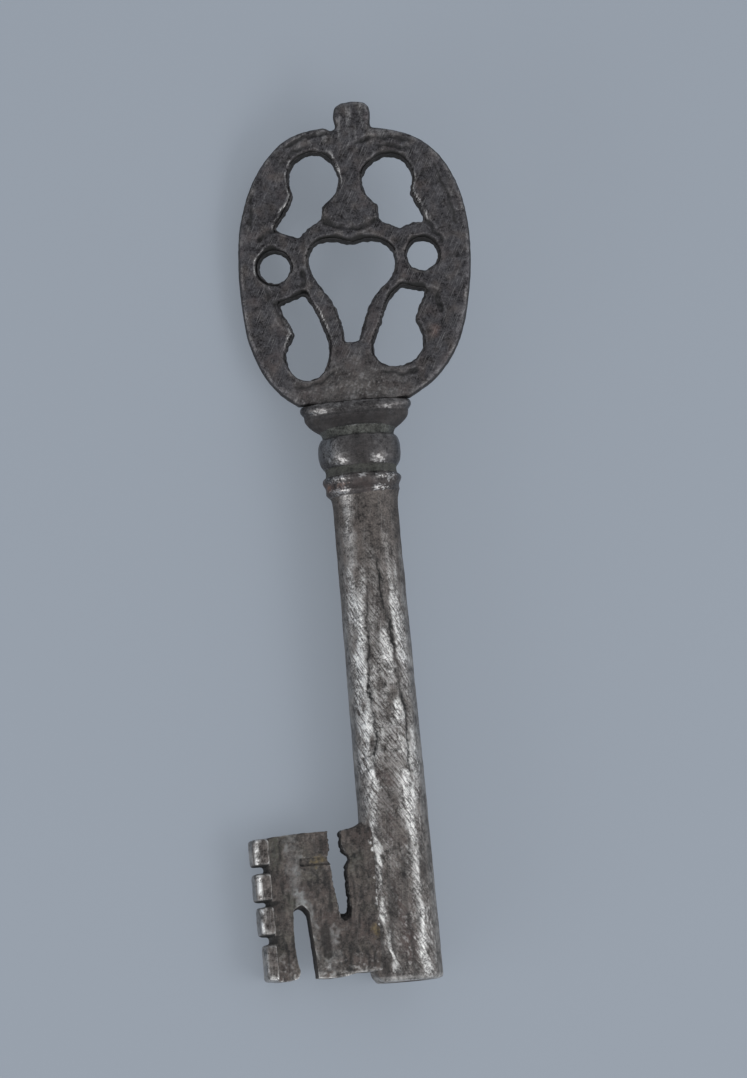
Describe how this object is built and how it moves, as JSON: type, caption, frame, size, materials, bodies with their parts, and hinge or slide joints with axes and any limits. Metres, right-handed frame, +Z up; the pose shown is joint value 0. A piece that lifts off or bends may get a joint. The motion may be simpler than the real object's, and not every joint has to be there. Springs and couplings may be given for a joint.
{
  "type": "wrought iron pipe key",
  "caption": "Forged iron pipe key with a pierced oval bow, moulded collar, hollow tapering shank and a warded bit with stout teeth.",
  "frame": {"origin": "centre of the bounding box's foot, on the surface that the key lies on", "axes": "+Y from the tip towards the bow, +Z up out of the front face, the bit towards -X"},
  "size_m": [0.0462, 0.1508, 0.016],
  "materials": {
    "dark_iron": "forged and filed wrought iron with a dark handled patina",
    "brown_iron": "wrought iron with a brown rust patina, worn bright on the edges",
    "bright_iron": "file-marked wrought iron, worn bright along the shank",
    "spelter": "dull greenish brazing spelter"
  },
  "bodies": {
    "root": {"bow": "dark_iron", "bow_collar": "dark_iron", "neck_braze": "spelter", "knop": "brown_iron", "knop_braze": "spelter", "shank_ring": "bright_iron", "shank_pipe": "bright_iron", "bit": "brown_iron", "bit_braze_front": "brown_iron", "bit_braze_back": "brown_iron"}
  },
  "joints": []
}
